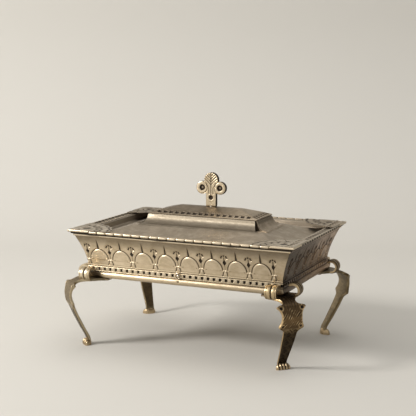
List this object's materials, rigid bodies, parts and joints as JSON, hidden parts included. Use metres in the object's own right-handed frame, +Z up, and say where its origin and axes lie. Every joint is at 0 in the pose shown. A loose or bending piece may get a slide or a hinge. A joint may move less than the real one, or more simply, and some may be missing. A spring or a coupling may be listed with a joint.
{
  "type": "keepsake box",
  "caption": "Footed brass keepsake box with a flared body, an arcade frieze, scrolled legs and a hinged dished lid with a palmette finial",
  "frame": {"origin": "centre of the footprint, on the surface the box stands on", "axes": "+X along the front to the right, -Y out of the front, +Z up"},
  "size_m": [0.215, 0.158, 0.1461],
  "materials": {
    "cast_brass": "aged, satin",
    "aged_brass": "darkened, satin",
    "dark_brass": "dark patina, matt",
    "fastener_steel": "dull"
  },
  "bodies": {
    "body": {"base_bar_back": "aged_brass", "base_bar_front": "cast_brass", "base_bar_left": "cast_brass", "base_bar_right": "aged_brass", "bead_band_back": "aged_brass", "bead_band_front": "cast_brass", "bead_band_left": "cast_brass", "bead_band_right": "aged_brass", "bottom_plate": "dark_brass", "front_boss": "cast_brass", "hinge_left_body_leaf": "aged_brass", "hinge_left_pin": "fastener_steel", "hinge_left_wall_rivet_left": "fastener_steel", "hinge_left_wall_rivet_right": "fastener_steel", "hinge_right_body_leaf": "aged_brass", "hinge_right_pin": "fastener_steel", "hinge_right_wall_rivet_left": "fastener_steel", "hinge_right_wall_rivet_right": "fastener_steel", "leg_back_left": "cast_brass", "leg_back_right": "aged_brass", "leg_front_left": "cast_brass", "leg_front_right": "aged_brass", "leg_screw_back_left": "fastener_steel", "leg_screw_back_right": "fastener_steel", "leg_screw_front_left": "fastener_steel", "leg_screw_front_right": "fastener_steel", "wall_back": "aged_brass", "wall_front": "cast_brass", "wall_left": "cast_brass", "wall_right": "aged_brass"},
    "lid": {"corner_plate_back_left": "cast_brass", "corner_plate_back_right": "aged_brass", "corner_plate_front_left": "cast_brass", "corner_plate_front_right": "aged_brass", "finial": "cast_brass", "finial_nut": "fastener_steel", "finial_washer": "fastener_steel", "hinge_left_lid_leaf": "aged_brass", "hinge_left_rim_rivet_left": "fastener_steel", "hinge_left_rim_rivet_right": "fastener_steel", "hinge_right_lid_leaf": "aged_brass", "hinge_right_rim_rivet_left": "fastener_steel", "hinge_right_rim_rivet_right": "fastener_steel", "lid_edging_back": "aged_brass", "lid_edging_front": "cast_brass", "lid_edging_left": "aged_brass", "lid_edging_right": "aged_brass", "lid_panel": "aged_brass", "lid_rim": "aged_brass", "plinth_strip_back": "aged_brass", "plinth_strip_front": "cast_brass", "plinth_strip_left": "aged_brass", "plinth_strip_right": "aged_brass", "roof_plate": "aged_brass"}
  },
  "joints": [
    {"name": "lid_hinge", "type": "hinge", "parent": "body", "child": "lid", "pos_m": [0, 0.0696, 0.0951], "axis": [-1, 0, 0], "range_deg": [0, 100]}
  ]
}
